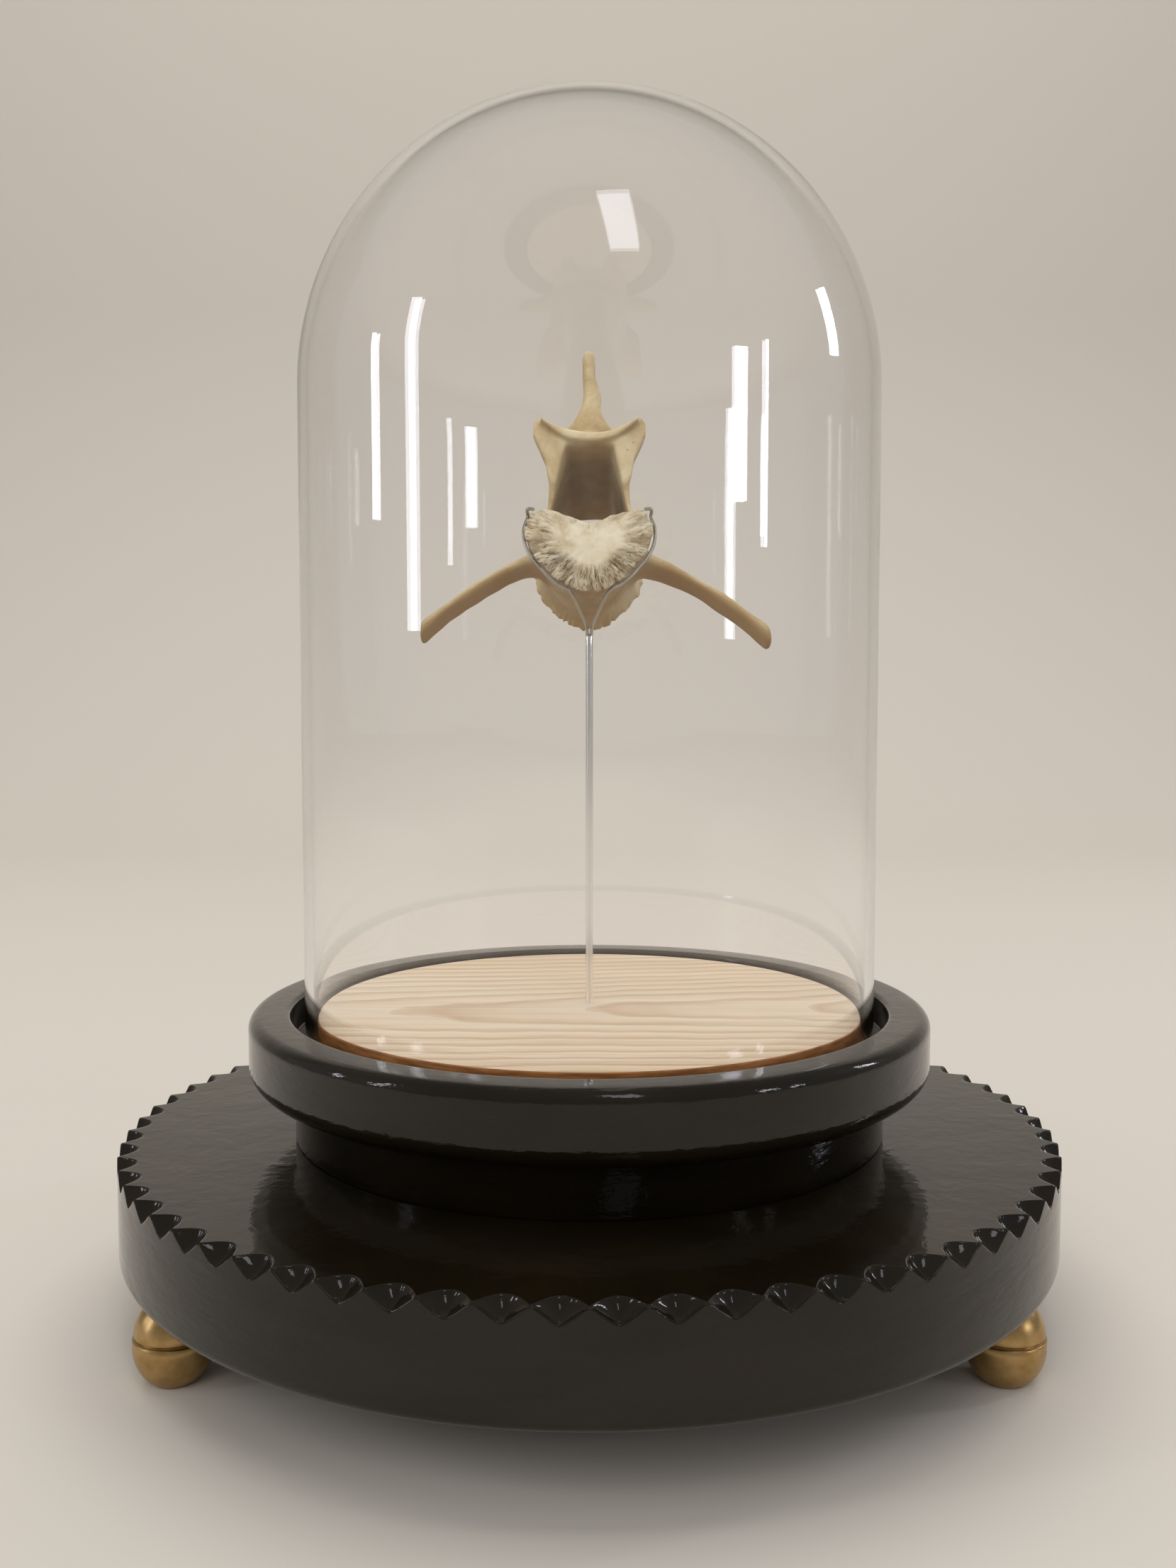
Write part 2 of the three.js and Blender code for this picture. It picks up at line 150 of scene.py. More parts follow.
def curve_through(points, count):
    """Centripetal Catmull-Rom curve through points, sampled evenly by its length."""
    p = np.asarray(points, float)
    p = np.vstack([2 * p[0] - p[1], p, 2 * p[-1] - p[-2]])
    out = []
    for a, b, c, d in zip(p[:-3], p[1:-2], p[2:-1], p[3:]):
        t0 = 0.0
        t1 = t0 + np.linalg.norm(b - a) ** 0.5
        t2 = t1 + np.linalg.norm(c - b) ** 0.5
        t3 = t2 + np.linalg.norm(d - c) ** 0.5
        t = np.linspace(t1, t2, 24, endpoint=False)[:, None]
        ab = (t1 - t) / (t1 - t0) * a + (t - t0) / (t1 - t0) * b
        bc = (t2 - t) / (t2 - t1) * b + (t - t1) / (t2 - t1) * c
        cd = (t3 - t) / (t3 - t2) * c + (t - t2) / (t3 - t2) * d
        abc = (t2 - t) / (t2 - t0) * ab + (t - t0) / (t2 - t0) * bc
        bcd = (t3 - t) / (t3 - t1) * bc + (t - t1) / (t3 - t1) * cd
        out.append((t2 - t) / (t2 - t1) * abc + (t - t1) / (t2 - t1) * bcd)
    out = np.vstack(out + [p[-2][None]])
    length = np.r_[0, np.cumsum(np.linalg.norm(np.diff(out, axis=0), axis=1))]
    at = np.linspace(0, length[-1], count)
    return np.stack([np.interp(at, length, out[:, k]) for k in range(3)], -1)


def tube(name, path, radius, sides=20):
    """A round wire along a path in mm: a circle carried along it without twisting, with domed ends."""
    path = np.asarray(path, float)
    tangent = np.gradient(path, axis=0)
    tangent /= np.linalg.norm(tangent, axis=1)[:, None]
    side = np.cross(tangent[0], [0.3, 0.9, 0.2])
    rings = []
    angle = np.arange(sides) * 2 * np.pi / sides
    for at, along in zip(path, tangent):
        side = side - along * (side @ along)
        side /= np.linalg.norm(side)
        up = np.cross(along, side)
        rings.append(at + radius * (np.cos(angle)[:, None] * side + np.sin(angle)[:, None] * up))
    first, last = rings[0] - path[0], rings[-1] - path[-1]
    for lift in np.radians([30, 60, 80]):
        rings.insert(0, path[0] - tangent[0] * radius * math.sin(lift) + first * math.cos(lift))
        rings.append(path[-1] + tangent[-1] * radius * math.sin(lift) + last * math.cos(lift))
    return capped(np.vstack(rings) * MM, len(rings), sides, name)


# Materials
def linear(colour):
    """An sRGB hex colour as linear red, green, blue and alpha."""
    parts = [int(colour[i : i + 2], 16) / 255 for i in (1, 3, 5)]
    return tuple(c / 12.92 if c <= 0.04045 else ((c + 0.055) / 1.055) ** 2.4 for c in parts) + (1.0,)


def material(name):
    """A new node material, its tree and its Principled shader."""
    new = bpy.data.materials.new(name)
    new.use_nodes = True
    return new, new.node_tree, new.node_tree.nodes["Principled BSDF"]


def fill(tree, target, values):
    """Sets a node's sockets to numbers and colours, or links them to other sockets."""
    for key, value in values.items():
        if isinstance(value, bpy.types.NodeSocket):
            tree.links.new(value, target.inputs[key])
        else:
            target.inputs[key].default_value = value


def node(tree, kind, output, inputs=None, stops=(), **settings):
    """Adds a node and gives back one of its outputs.

    Inputs are numbers, colours or sockets to link. Stops are the places and hex colours of a colour ramp.
    Settings are the node's own properties. Noise scales are swells in a metre, and bump distances metres.
    A Mix node of colours has them in sockets 6 and 7 and in output 2."""
    new = tree.nodes.new("ShaderNode" + kind)
    for key, value in settings.items():
        setattr(new, key, value)
    fill(tree, new, inputs or {})
    if stops:
        elements = new.color_ramp.elements
        while len(elements) < len(stops):
            elements.new(0.5)
        for element, (position, colour) in zip(elements, stops):
            element.position = position
            element.color = linear(colour)
    return new.outputs[output]


def bone_material():
    """Dry cleaned bone: cream, stained brown in patches, with pitted, paler growth faces; painted shade
    darkens its undersides, its canal to dark brown, its pits and the grooves between its rays, and partly
    browns its wings.
    """
    new, tree, shader = material("dry_bone")
    at = node(tree, "TexCoord", "Object")
    stain = {"Vector": at, "Scale": 70, "Detail": 4, "Roughness": 0.6, "Distortion": 0.4}
    tones = [(0.3, "#b4986f"), (0.5, "#d3bb93"), (0.68, "#eadab8")]
    base = node(tree, "ValToRGB", "Color", {"Fac": node(tree, "TexNoise", "Fac", stain)}, tones)
    mottle = {"Vector": at, "Scale": 160, "Detail": 4, "Roughness": 0.6}
    tones = [(0.32, "#cdb795"), (0.5, "#ecdcc0"), (0.66, "#f8eeda")]
    pale = node(tree, "ValToRGB", "Color", {"Fac": node(tree, "TexNoise", "Fac", mottle)}, tones)
    # The polar attribute holds millimetres round and out from the face's centre, so noise on it draws rays
    polar = node(tree, "Attribute", "Vector", attribute_name="polar")
    stretched = node(tree, "Mapping", "Vector", {"Vector": polar, "Scale": (1.5, 0.42, 1.0)})
    drawn_out = {"Vector": stretched, "Scale": 1.0, "Detail": 3, "Roughness": 0.6, "Distortion": 0.5}
    rays = node(tree, "TexNoise", "Fac", drawn_out)
    # Painted shade: the furrows between the rays are darkened to brown
    furrow = node(tree, "ValToRGB", "Color", {"Fac": rays}, [(0.36, "#ffffff"), (0.5, "#000000")])
    ray_mask = node(tree, "Attribute", "Fac", attribute_name="ray")
    furrow_shade = node(tree, "Math", 0, {0: furrow, 1: ray_mask}, operation="MULTIPLY")
    face = node(tree, "Mix", 2, {0: furrow_shade, 6: pale, 7: linear("#8f7048")}, data_type="RGBA")
    plate_mask = node(tree, "Attribute", "Fac", attribute_name="plate")
    colour = node(tree, "Mix", 2, {0: plate_mask, 6: base, 7: face}, data_type="RGBA")
    # Painted shade: dark tones for the grooves, the undersides and the canal, and a browner tone for the
    # wings that is partly painted shade
    browning_and_painted_shade = {"groove": "#8b6c48", "tan": "#a98a60", "under": "#8f7049", "canal": "#4d361b"}
    for mask_name, tone in browning_and_painted_shade.items():
        mask = node(tree, "Attribute", "Fac", attribute_name=mask_name)
        colour = node(tree, "Mix", 2, {0: mask, 6: colour, 7: linear(tone)}, data_type="RGBA")
    # Pits about 1.6 mm apart, thinned out by a broader noise, their colour darkened half way as painted shade
    cells = node(tree, "TexVoronoi", "Distance", {"Vector": at, "Scale": 620.0}, feature="F1")
    broad = node(tree, "TexNoise", "Fac", {"Vector": at, "Scale": 300, "Detail": 2})
    spread = node(tree, "Math", 0, {0: cells, 1: broad}, operation="ADD")
    pit = node(tree, "ValToRGB", "Color", {"Fac": spread}, [(0.42, "#ffffff"), (0.56, "#000000")])
    pit_shade = node(tree, "Math", 0, {0: pit, 1: 0.5}, operation="MULTIPLY")
    colour = node(tree, "Mix", 2, {0: pit_shade, 6: colour, 7: linear("#6f5738")}, data_type="RGBA")
    # Relief in four layers: grain, lumps, pits and the rays' ridges, each with its height and strength
    grain = node(tree, "TexNoise", "Fac", {"Vector": at, "Scale": 1500, "Detail": 4, "Roughness": 0.65})
    lumps = node(tree, "TexNoise", "Fac", {"Vector": at, "Scale": 420, "Detail": 3, "Roughness": 0.6})
    ridges = node(tree, "Math", 0, {0: rays, 1: ray_mask}, operation="MULTIPLY")
    relief = node(tree, "Bump", "Normal", {"Height": grain, "Distance": 0.00012, "Strength": 0.6})
    for height, distance, strength in ((lumps, 0.0003, 0.5), (pit, 0.0003, -0.6), (ridges, 0.0018, 0.8)):
        layer = {"Height": height, "Distance": distance, "Strength": strength, "Normal": relief}
        relief = node(tree, "Bump", "Normal", layer)
    values = {
        "Base Color": colour,
        "Roughness": 0.66,
        "IOR": 1.5,
        "Specular IOR Level": 0.3,
        "Subsurface Weight": 0.12,
        "Subsurface Radius": (1.0, 0.6, 0.35),
        "Subsurface Scale": 0.0015,
        "Normal": relief,
    }
    fill(tree, shader, values)
    return new


def lacquer_material():
    """Brushed black gloss lacquer over wood: a deep mirror, with soft brush waves that bend reflections."""
    new, tree, shader = material("black_gloss_lacquer")
    flattened = {"Vector": node(tree, "TexCoord", "Object"), "Scale": (1, 1, 3.5)}
    at = node(tree, "Mapping", "Vector", flattened)
    brush = {"Vector": at, "Scale": 46, "Detail": 2, "Roughness": 0.45, "Distortion": 0.6}
    ripple = {"Vector": at, "Scale": 210, "Detail": 3, "Roughness": 0.55, "Distortion": 0.5}
    waves = {"Height": node(tree, "TexNoise", "Fac", brush), "Distance": 0.0009, "Strength": 0.22}
    peel = {"Height": node(tree, "TexNoise", "Fac", ripple), "Distance": 0.00022, "Strength": 0.4}
    relief = node(tree, "Bump", "Normal", peel | {"Normal": node(tree, "Bump", "Normal", waves)})
    cloud = node(tree, "TexNoise", "Fac", {"Vector": at, "Scale": 25, "Detail": 3})
    tone = node(tree, "ValToRGB", "Color", {"Fac": cloud}, [(0.35, "#120e06"), (0.65, "#1a140a")])
    values = {
        "Base Color": tone,
        "Roughness": 0.4,
        "IOR": 1.45,
        "Specular IOR Level": 0.05,
        "Coat Weight": 0.85,
        "Coat Roughness": 0.03,
        "Coat IOR": 1.42,
        "Normal": relief,
        "Coat Normal": relief,
    }
    fill(tree, shader, values)
    return new


def wood_material():
    """Pale plain-sawn softwood, sanded: growth lines in long loops on the face, browner at the turned rim."""
    new, tree, shader = material("pale_softwood")
    whole = node(tree, "TexCoord", "Object")
    # The trunk's axis runs below the disc, slightly askew, so the rings cut its face in loops
    askew = {"Vector": whole, "Rotation": (0.0, math.radians(7), math.radians(-3))}
    trunk = node(tree, "Mapping", "Vector", askew | {"Location": (0.012, 0.012, -0.062)})
    drift = {"Vector": trunk, "Scale": 50.0, "Distortion": 4.5, "Detail": 3.0}
    drift |= {"Detail Scale": 0.4, "Detail Roughness": 0.55}
    rings = node(tree, "TexWave", "Fac", drift, wave_type="RINGS", rings_direction="X", wave_profile="SAW")
    # Swells in a metre along x, y and z, for the fibres, the broad patches and the grain of the rim
    along, wide, upright = (
        node(tree, "Mapping", "Vector", {"Vector": whole, "Scale": swells})
        for swells in ((18, 700, 700), (6, 40, 40), (120, 120, 900))
    )
    fibre = node(tree, "TexNoise", "Fac", {"Vector": along, "Scale": 1.0, "Detail": 4, "Roughness": 0.65})
    patch = node(tree, "TexNoise", "Fac", {"Vector": wide, "Scale": 1.0, "Detail": 3})
    rim = node(tree, "TexNoise", "Fac", {"Vector": upright, "Scale": 1.0, "Detail": 3})
    tones = [(0.0, "#ecd9c4"), (0.5, "#e6cdb2"), (0.86, "#c8a27c"), (1.0, "#dfc4a7")]
    lines = node(tree, "ValToRGB", "Color", {"Fac": rings}, tones)
    patches = node(tree, "ValToRGB", "Color", {"Fac": patch}, [(0.3, "#dcc4a9"), (0.7, "#ecdfd0")])
    fibres = node(tree, "ValToRGB", "Color", {"Fac": fibre}, [(0.35, "#b8977a"), (0.6, "#ffffff")])
    rim_tone = node(tree, "ValToRGB", "Color", {"Fac": rim}, [(0.3, "#7d4c24"), (0.7, "#b87b46")])
    tone = node(tree, "Mix", 2, {0: 0.35, 6: lines, 7: patches}, data_type="RGBA")
    tone = node(tree, "Mix", 2, {0: 0.25, 6: tone, 7: fibres}, data_type="RGBA", blend_type="MULTIPLY")
    edge_mask = node(tree, "Attribute", "Fac", attribute_name="edge")
    colour = node(tree, "Mix", 2, {0: edge_mask, 6: tone, 7: rim_tone}, data_type="RGBA")
    grain = node(tree, "Bump", "Normal", {"Height": fibre, "Distance": 0.00012, "Strength": 0.5})
    fill(tree, shader, {"Base Color": colour, "Roughness": 0.52, "IOR": 1.48, "Normal": grain})
    return new


def brass_material():
    """Satin brass, turned on a lathe: fine level lines spread the highlight sideways, with faint dulling."""
    new, tree, shader = material("satin_brass")
    at = node(tree, "TexCoord", "Object")
    level = node(tree, "Mapping", "Vector", {"Vector": at, "Scale": (40, 40, 5200)})
    lines = node(tree, "TexNoise", "Fac", {"Vector": level, "Scale": 1.0, "Detail": 2})
    dull = node(tree, "TexNoise", "Fac", {"Vector": at, "Scale": 260, "Detail": 3})
    values = {
        "Base Color": node(tree, "ValToRGB", "Color", {"Fac": dull}, [(0.3, "#a98a58"), (0.7, "#bfa06e")]),
        "Metallic": 1.0,
        "Roughness": node(tree, "Math", 0, {0: dull, 1: 0.12, 2: 0.26}, operation="MULTIPLY_ADD"),
        "Normal": node(tree, "Bump", "Normal", {"Height": lines, "Distance": 0.00002, "Strength": 0.4}),
    }
    fill(tree, shader, values)
    return new


def steel_material(name, colour, roughness):
    """Drawn steel with faint lengthwise streaks, in the colour and roughness given: bright where polished,
    and greyer as painted shade where it is left dull.
    """
    new, tree, shader = material(name)
    drawn = {"Vector": node(tree, "TexCoord", "Object"), "Scale": (2500, 2500, 60)}
    at = node(tree, "Mapping", "Vector", drawn)
    streak = node(tree, "TexNoise", "Fac", {"Vector": at, "Scale": 1.0, "Detail": 2})
    normal = node(tree, "Bump", "Normal", {"Height": streak, "Distance": 0.00001, "Strength": 0.3})
    values = {"Base Color": linear(colour), "Metallic": 1.0, "Roughness": roughness, "Normal": normal}
    fill(tree, shader, values)
    return new


def glass_material():
    """Clear blown glass: sharp reflections, and lamps light what is inside as if the glass weren't there."""
    new, tree, shader = material("clear_blown_glass")
    upright = {"Vector": node(tree, "TexCoord", "Object"), "Scale": (1, 1, 0.6)}
    at = node(tree, "Mapping", "Vector", upright)
    swell = node(tree, "TexNoise", "Fac", {"Vector": at, "Scale": 16, "Detail": 1, "Roughness": 0.4})
    values = {
        "Base Color": linear("#ffffff"),
        "Roughness": 0.0,
        "IOR": 1.5,
        "Transmission Weight": 1.0,
        "Normal": node(tree, "Bump", "Normal", {"Height": swell, "Distance": 0.0012, "Strength": 0.12}),
    }
    fill(tree, shader, values)
    through = node(tree, "BsdfTransparent", 0, {"Color": linear("#fbfdfc")})
    shadow = node(tree, "LightPath", "Is Shadow Ray")
    diffuse = node(tree, "LightPath", "Is Diffuse Ray")
    either = node(tree, "Math", 0, {0: shadow, 1: diffuse}, operation="MAXIMUM")
    glass = node(tree, "MixShader", 0, {0: either, 1: shader.outputs[0], 2: through})
    fill(tree, tree.nodes["Material Output"], {"Surface": glass})
    return new


def floor_material():
    """Pale matt paint: no gloss, so the floor shows soft shadows only."""
    new, tree, shader = material("pale_floor")
    values = {"Base Color": linear("#d3cec7"), "Roughness": 0.9, "Specular IOR Level": 0.15}
    fill(tree, shader, values)
    return new


# The bone
def smooth_min(a, b, k):
    """The smaller of two fields, blended over a width k."""
    h = np.maximum(k - np.abs(a - b), 0) / k
    return np.minimum(a, b) - h * h * k / 4


def smooth_max(a, b, k):
    """The larger of two fields, blended over a width k."""
    return -smooth_min(-a, -b, k)


def heart_radius():
    """The heart outline as a radius at each angle round its centre, as a table for np.interp."""
    right = [(x, 0.0, z) for x, z in HEART]
    left = [(-x, 0.0, z) for x, z in HEART[-2:0:-1]]
    loop = right + left
    curve = curve_through(loop[-2:] + loop + loop[:3], 900)
    dx, dz = curve[:, 0], curve[:, 2] - BODY_CENTRE
    angle = np.arctan2(dz, dx)
    order = np.argsort(angle)
    angle, radius = angle[order], np.hypot(dx, dz)[order]
    return np.r_[angle - 2 * np.pi, angle, angle + 2 * np.pi], np.r_[radius, radius, radius]


def value_noise(u, v, table):
    """Smooth noise from a table of random numbers, which repeats along u."""
    ui, vi = np.floor(u).astype(int), np.floor(v).astype(int)
    fu, fv = u - ui, v - vi
    fu, fv = fu * fu * (3 - 2 * fu), fv * fv * (3 - 2 * fv)
    n, m = table.shape
    a, b = table[ui % n, vi % m], table[(ui + 1) % n, vi % m]
    c, d = table[ui % n, (vi + 1) % m], table[(ui + 1) % n, (vi + 1) % m]
    return (a * (1 - fu) + b * fu) * (1 - fv) + (c * (1 - fu) + d * fu) * fv


random = np.random.default_rng(SEED)
RIDGES = random.random((96, 64))
RIM_RAGS = random.random((96, 4))
WAVES = random.normal(size=(10, 3)), random.random(10) * 2 * np.pi


def ridge_height(angle, share):
    """Rough rays on a growth face: 1 on a ridge and 0 in a groove, from noise drawn out along the radius."""
    around = ((angle + np.pi / 2) / (2 * np.pi)) * len(RIDGES)
    wander = value_noise(around * 0.5, share * 7 + 3, RIDGES) - 0.5
    ray = value_noise(around + 1.3 * wander, share * 3.2, RIDGES)
    knots = value_noise(around * 2, share * 17 + 9, RIDGES)
    return np.clip(1.5 * ray + 0.4 * knots - 0.42, 0, 1)


def ray_strength(angle, share):
    """How strong the rays are: full on the lower rim, faint near the middle and towards the notch."""
    low = np.clip(0.62 - 0.62 * np.sin(angle), 0, 1)
    start = 0.5 - 0.12 * low
    return np.clip((share - start) / 0.22, 0.06, 1) * (0.16 + 0.84 * low**0.8)


def body_field(x, y, z, table):
    """The vertebral body: heart sections that narrow towards the waist, between two rough growth faces."""
    dz = z - BODY_CENTRE
    reach = np.hypot(x, dz)
    angle = np.arctan2(dz, x)
    full = np.interp(angle, *table).astype(np.float32)
    t = np.clip(y / BODY_LENGTH, 0, 1)
    from_end = np.clip(np.minimum(y, BODY_LENGTH - y), 0, None)
    lip = 1 - np.exp(-from_end / BODY_LIP)
    share = 1 + (BODY_REAR - 1) * t - BODY_WAIST * (0.35 * lip + 0.65 * np.sin(np.pi * t))
    keel = 0.06 * np.exp(-(((angle + np.pi / 2) / 0.35) ** 2)) * np.sin(np.pi * t)
    rags = value_noise(angle / (2 * np.pi) * len(RIM_RAGS), 0 * angle, RIM_RAGS) - 0.5
    ragged = rags * np.exp(-from_end / 1.6) * (0.04 + 0.075 * (y > BODY_LENGTH / 2))
    side = reach - full * (share + keel + ragged)
    part = reach / full
    rough = ridge_height(angle, part) * ray_strength(angle, part)
    dome = 0.8 * (1 - np.clip(part, 0, 1) ** 2)
    round_rim = 1.2 * np.clip((part - 0.8) / 0.2, 0, 1) ** 2
    front = 0.7 * round_rim - dome - 2.4 * (rough - 0.62 * ray_strength(angle, part)) + 0.6 - y
    rear = y - BODY_LENGTH - 1.1 * (rough - 0.6 * ray_strength(angle, part)) + 0.3 + round_rim * 0.7
    return smooth_max(smooth_max(side * 0.92 - 0.15, front, 0.7), rear, 0.8)


def arch_field(x, y, z):
    """The arch: side walls and a gutter-like roof, with a notch behind each pedicle where a nerve leaves."""
    t = np.clip((y - 3) / 30, 0, 1)
    pinch = 1 - 0.1 * np.sin(np.pi * t) - 0.12 * t
    half = np.interp(z, [-8, 4, 17, 24, 32], [13.8, 13.2, 11.9, 11.0, 10.4]).astype(np.float32) * pinch
    roof_front, roof_rear = 29.2, 25.2
    roof = roof_front + (roof_rear - roof_front) * t + 2.6 * (x / 12) ** 2 * (1 - 0.6 * t)
    field = smooth_max(np.abs(x) - half, z - roof, 2.6)
    field = smooth_max(field, -6 - z, 1.5)
    edge = 3.0 - 0.05 * (z - 8) + 1.8 * np.exp(-(((z - 9) / 5.0) ** 2))
    field = smooth_max(field, edge - y, 2.0)
    field = smooth_max(field, y - 33 - 0.02 * z, 2.0)
    lip_top = 29.0 + 3.6 * (np.abs(x) / 14) ** 2.2
    lip_low = 25.0 + 0.032 * x**2
    lip = smooth_max(z - lip_top, lip_low - z, 1.4)
    lip = smooth_max(smooth_max(np.abs(x) - 14.9, y - 11, 1.5), lip, 1.0)
    lip = smooth_max(lip, 1.04 - 0.014 * x**2 - y, 1.6)
    field = smooth_min(field, lip, 1.2)
    notch = 8.2 - np.sqrt(((y - 30) / 1.05) ** 2 + (z - 4.6) ** 2)
    return smooth_max(field, notch, 2.0)


def canal_field(x, y, z):
    """The canal, wide below and narrower above, lower at its rear end."""
    t = np.clip(y / BODY_LENGTH, 0, 1)
    top_front, top_rear = 26.4, 15.0
    top = top_front + (top_rear - top_front) * t
    up = np.clip(z / top, 0, 1)
    half = (12.1 - 4.9 * up**1.15) * (1 - 0.14 * t)
    field = smooth_max(np.abs(x) - half, z - top, 1.6)
    low = 0.2 + 0.34 * np.abs(x) * (0.25 + 0.75 * np.exp(-((np.clip(y, 0, None) / 6) ** 2)))
    return smooth_max(field, low - z, 1.6)


def spine_field(x, y, z):
    """The spinous process: a thin blade with a swollen crest, a bulge on its right, and a spread foot."""
    t = np.clip((z - SPINE_BASE) / (SPINE_TOP - SPINE_BASE), 0, 1)
    front = 5.0 + 5.5 * t**0.6
    rear = 31.0 - 3.5 * t
    half = (rear - front) / 2
    across = np.clip(np.abs(y - (front + rear) / 2) / half, 0, 1)
    spread = 15 * np.exp(-(((z - SPINE_BASE) / 12.8) ** 2))
    thick = 1.6 + 0.3 * np.exp(-(((t - 1) / 0.14) ** 2)) + np.clip(spread, 0, 6)
    thick = thick * np.sqrt(np.clip(1.02 - across**4, 0.05, 1))
    bulge = 1.7 * np.exp(-(((t - 0.63) / 0.13) ** 2) - ((y - 15) / 5) ** 2)
    lean = 0.15 * np.sin(5 * t) + 0.5 * bulge
    field = np.abs(x - lean) - thick - 0.5 * bulge
    field = smooth_max(field, front - y, 1.6)
    field = smooth_max(field, y - rear, 1.6)
    field = smooth_max(field, z - SPINE_TOP + 0.015 * (y - 19) ** 2, 1.8)
    return smooth_max(field, SPINE_BASE - z, 1.0)


def polygon_distance(px, pz, outline):
    """Signed distance to a polygon in the plane, negative inside."""
    best = np.full(px.shape, 1e9, np.float32)
    sign = np.ones(px.shape, np.float32)
    corners = np.asarray(outline, float)
    for a, b in zip(corners, np.roll(corners, -1, 0)):
        ex, ez = b - a
        wx, wz = px - a[0], pz - a[1]
        k = np.clip((wx * ex + wz * ez) / (ex * ex + ez * ez), 0, 1)
        best = np.minimum(best, (wx - ex * k) ** 2 + (wz - ez * k) ** 2)
        crossing = ((a[1] > pz) != (b[1] > pz)) & (px < (ex * (pz - a[1])) / (ez + 1e-9) + a[0])
        sign = np.where(crossing, -sign, sign)
    return sign * np.sqrt(best)


def ear_field(x, y, z):
    """The front articular processes: upturned corners of the arch, drawn in towards their rear ends."""
    t = np.clip((y - 1.2) / 14, 0, 1)
    size = 1 - 0.5 * t**1.3
    px = 8.5 + (np.abs(x) - 8.5) / size
    pz = 22 + (z - 22) / size
    flat = polygon_distance(px, pz, EAR_OUTLINE) * size - 0.95
    field = smooth_max(flat, 2.6 - 0.05 * (z - 24) - y + 0.1 * np.abs(np.abs(x) - 12.5), 1.6)
    return smooth_max(field, y - 15, 2.5)


def wing_field(x, y, z, span, drop):
    """A transverse process: a flat rib that sweeps out and down in an arc, with a round tip."""
    root_x, root_z = WING_ROOT
    t = (x - root_x) / (span - root_x)
    c = np.clip(t, 0, 1)
    centre_z = root_z + (drop - root_z) * (0.45 * c + 0.55 * c**1.9)
    slope = (drop - root_z) * (0.45 + 0.55 * 1.9 * c**0.9) / (span - root_x)
    steep = np.sqrt(1 + slope**2)
    centre_y = 15 - 6 * c
    root = np.exp(-((np.clip(t, 0, 2) / 0.2) ** 2))
    wide = 5.0 * (1 - 0.06 * c + 0.5 * root)
    thick = 1.95 * (1 + 1.1 * root) * (1 + 0.22 * np.exp(-(((c - 0.95) / 0.1) ** 2)))
    over = np.clip((t - 0.93) * (span - root_x), 0, None) * steep
    dy = (y - centre_y) / wide
    dz = (z - centre_z) / (thick * steep)
    camber = 0.25 * dy**2
    return (np.sqrt(dy**2 + (dz + camber) ** 2 + (over / 3.6) ** 4) - 1) * thick


def rear_ear_field(x, y, z):
    """The rear articular processes: two short blunt pegs that run back from the arch."""
    along = np.clip((y - 25) / 14.5, 0, 1)
    cx, cz = 4.5 + 1.9 * along, 20.5 - 2.1 * along**2
    end = np.clip(y - 36, 0, None) / 4.2
    start = np.clip(27 - y, 0, None) / 4.2
    return (np.sqrt(((np.abs(x) - cx) / 2.1) ** 2 + ((z - cz) / 3.6) ** 2 + end**2 + start**2) - 1) * 2.1


def bone_field(x, y, z):
    """All parts of the vertebra as one signed field in mm, with flesh-smooth joints between them."""
    table = heart_radius()
    field = smooth_min(arch_field(x, y, z), ear_field(x, y, z), 1.6)
    field = smooth_min(field, spine_field(x, y, z), 5.0)
    field = smooth_min(field, rear_ear_field(x, y, z), 1.5)
    field = smooth_min(field, body_field(x, y, z, table), 1.6)
    for side, (span, drop) in WINGS.items():
        wing = np.where(side * x > 4, wing_field(side * x, y, z, span, drop), 50).astype(np.float32)
        field = smooth_min(field, wing, 3.5)
    return smooth_max(field, -canal_field(x, y, z), 1.4)


def surface_nets(field, low, step):
    """The zero surface of a field on a grid: one point per mixed cell, at the mean of its edge crossings."""
    inside = field < 0
    corners = [(i, j, k) for i in (0, 1) for j in (0, 1) for k in (0, 1)]
    shape = np.array(field.shape) - 1

    def corner(volume, c):
        return volume[c[0] : c[0] + shape[0], c[1] : c[1] + shape[1], c[2] : c[2] + shape[2]]

    count = sum(corner(inside, c).astype(np.int8) for c in corners)
    mixed_cells = (count > 0) & (count < 8)
    cells = np.argwhere(mixed_cells)
    index = np.full(shape, -1, np.int64)
    index[mixed_cells] = np.arange(len(cells))
    total = np.zeros((len(cells), 3))
    crossings = np.zeros(len(cells))
    for a in corners:
        for axis in range(3):
            if a[axis]:
                continue
            b = list(a)
            b[axis] = 1
            fa = field[tuple((cells + a).T)]
            fb = field[tuple((cells + b).T)]
            cross = (fa < 0) != (fb < 0)
            t = np.where(cross, fa / np.where(cross, fa - fb, 1), 0)
            at = np.array(a, float)[None] + t[:, None] * (np.array(b) - np.array(a))
            total[cross] += at[cross]
            crossings += cross
    points = low + (cells + total / crossings[:, None]) * step
    faces = []
    for axis in range(3):
        u, v = [k for k in range(3) if k != axis]
        first = np.moveaxis(inside, (axis, u, v), (0, 1, 2))
        ids = np.moveaxis(index, (axis, u, v), (0, 1, 2))
        a, b = first[:-1, 1:-1, 1:-1], first[1:, 1:-1, 1:-1]
        edges = np.argwhere(a != b)
        i, j, k = edges[:, 0], edges[:, 1] + 1, edges[:, 2] + 1
        quad = np.stack([ids[i, j - 1, k - 1], ids[i, j, k - 1], ids[i, j, k], ids[i, j - 1, k]], -1)
        flip = ~first[i, j, k]
        if axis == 1:
            flip = ~flip
        quad[flip] = quad[flip][:, ::-1]
        faces.append(quad)
    return points, np.vstack(faces)


